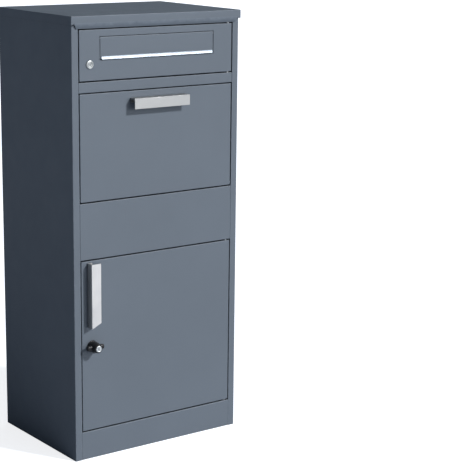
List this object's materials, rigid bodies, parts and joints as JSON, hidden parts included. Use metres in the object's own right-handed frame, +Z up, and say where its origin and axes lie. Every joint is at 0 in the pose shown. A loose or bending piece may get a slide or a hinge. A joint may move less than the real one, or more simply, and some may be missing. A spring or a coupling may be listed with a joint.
{
  "type": "parcel drop box",
  "caption": "Free-standing folded-steel parcel and letter box with a mail door and sprung letter flap, a tilt-out parcel tray, and a lower door with a lockable knob.",
  "frame": {"origin": "on the ground, under the centre of the bounding box", "axes": "front faces -Y, +X to the right of someone facing the front, +Z up"},
  "size_m": [0.45, 0.355, 1],
  "materials": {
    "powder_coat": "satin grey-blue powder coat with a fine texture",
    "satin_handle": "satin anodised",
    "bright_lip": "bright anodised",
    "black_knob": "semi-matt moulded",
    "black_rubber": "matt",
    "lock_metal": "nickel-plated",
    "zinc_plate": "zinc-plated"
  },
  "bodies": {
    "cabinet": {"left_side_panel": "powder_coat", "right_side_panel": "powder_coat", "back_panel": "powder_coat", "top_cap": "powder_coat", "header_rail": "powder_coat", "mail_rail": "powder_coat", "mail_shelf": "powder_coat", "fixed_front_panel": "powder_coat", "plinth_panel": "powder_coat", "floor_panel": "powder_coat", "tray_left_pin": "zinc_plate", "tray_right_pin": "zinc_plate", "door_buffer": "black_rubber"},
    "mail_door": {"mail_door_panel": "powder_coat", "mail_door_top_pin": "zinc_plate", "mail_door_bottom_pin": "zinc_plate", "mail_door_top_pin_bracket": "zinc_plate", "mail_door_bottom_pin_bracket": "zinc_plate", "mail_lock_housing": "lock_metal", "mail_lock_nut": "zinc_plate", "flap_bracket_left": "zinc_plate", "flap_bracket_right": "zinc_plate", "flap_spring_left": "zinc_plate", "flap_spring_right": "zinc_plate"},
    "mail_flap": {"mail_flap": "powder_coat", "mail_flap_lip": "bright_lip", "flap_hinge_rod": "zinc_plate"},
    "mail_lock": {"mail_lock_plug": "lock_metal", "mail_lock_cam": "zinc_plate", "mail_lock_cam_screw": "zinc_plate"},
    "tray": {"tray_front_panel": "powder_coat", "tray_left_cheek": "powder_coat", "tray_right_cheek": "powder_coat", "tray_top_wall": "powder_coat", "tray_chute_plate": "powder_coat", "tray_handle": "satin_handle", "tray_handle_screw_left": "zinc_plate", "tray_handle_screw_right": "zinc_plate"},
    "lower_door": {"lower_door_panel": "powder_coat", "lower_door_stiffener": "powder_coat", "door_handle": "satin_handle", "door_handle_screw_top": "zinc_plate", "door_handle_screw_bottom": "zinc_plate", "lower_door_top_pin": "zinc_plate", "lower_door_bottom_pin": "zinc_plate", "lower_door_top_pin_bracket": "zinc_plate", "lower_door_bottom_pin_bracket": "zinc_plate", "knob_housing": "black_knob", "knob_lock_nut": "zinc_plate"},
    "knob": {"knob": "black_knob", "knob_cam": "zinc_plate", "knob_cam_screw": "zinc_plate"},
    "key_plug": {"key_plug": "lock_metal"}
  },
  "joints": [
    {"name": "mail_door_hinge", "type": "hinge", "parent": "cabinet", "child": "mail_door", "pos_m": [0.195, -0.1424, 0.8595], "axis": [0, 0, 1], "range_deg": [0, 110]},
    {"name": "mail_flap_hinge", "type": "hinge", "parent": "mail_door", "child": "mail_flap", "pos_m": [0, -0.143, 0.95], "axis": [-1, 0, 0], "range_deg": [0, 75], "stiffness_Nm_per_rad": 0.05, "springref_deg": -17.19},
    {"name": "mail_lock_turn", "type": "hinge", "parent": "mail_door", "child": "mail_lock", "pos_m": [-0.177, -0.1475, 0.895], "axis": [0, -1, 0], "range_deg": [0, 90]},
    {"name": "tray_hinge", "type": "hinge", "parent": "cabinet", "child": "tray", "pos_m": [0, -0.1424, 0.6], "axis": [1, 0, 0], "range_deg": [0, 90]},
    {"name": "lower_door_hinge", "type": "hinge", "parent": "cabinet", "child": "lower_door", "pos_m": [0.195, -0.1424, 0.068], "axis": [0, 0, 1], "range_deg": [0, 110]},
    {"name": "knob_turn", "type": "hinge", "parent": "lower_door", "child": "knob", "pos_m": [-0.177, -0.1475, 0.265], "axis": [0, -1, 0], "range_deg": [0, 90]},
    {"name": "key_plug_turn", "type": "hinge", "parent": "knob", "child": "key_plug", "pos_m": [-0.177, -0.1475, 0.265], "axis": [0, -1, 0], "range_deg": [0, 90]}
  ]
}
